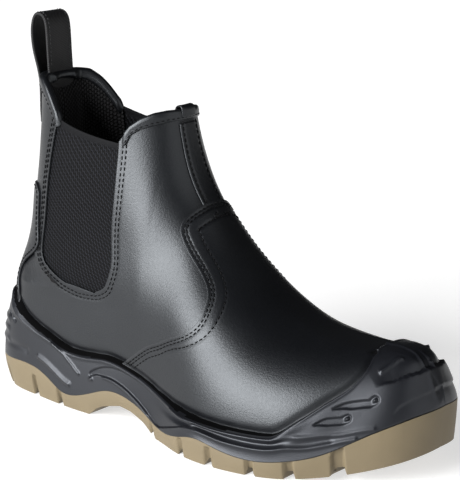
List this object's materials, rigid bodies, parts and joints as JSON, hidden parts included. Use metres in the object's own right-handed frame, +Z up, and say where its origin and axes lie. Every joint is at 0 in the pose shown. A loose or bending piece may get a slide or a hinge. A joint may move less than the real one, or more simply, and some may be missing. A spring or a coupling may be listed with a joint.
{
  "type": "side gore work boot",
  "caption": "Ankle-high pull-on work boot, right foot, with elastic side gores, a heel pull loop, a thick two-part sole and a moulded toe cap.",
  "frame": {"origin": "middle of the boot's length and width, on the floor", "axes": "+X from heel to toe, -Y to the boot's outer (lateral) side, +Z up"},
  "size_m": [0.3096, 0.1196, 0.2292],
  "materials": {
    "black_leather": "smooth satin",
    "dark_polyurethane": "matte moulded",
    "tan_rubber": "matte moulded",
    "black_elastic": "ribbed weave",
    "loop_webbing": "woven",
    "insole_fabric": "matte"
  },
  "bodies": {
    "root": {"outsole": "tan_rubber", "midsole": "dark_polyurethane", "insole": "insole_fabric", "upper": "black_leather", "vamp": "black_leather", "heel_counter": "black_leather", "front_strip": "black_leather", "collar_back": "black_leather", "collar_front": "black_leather", "pull_loop": "loop_webbing", "gore_lateral": "black_elastic", "gore_medial": "black_elastic"}
  },
  "joints": []
}
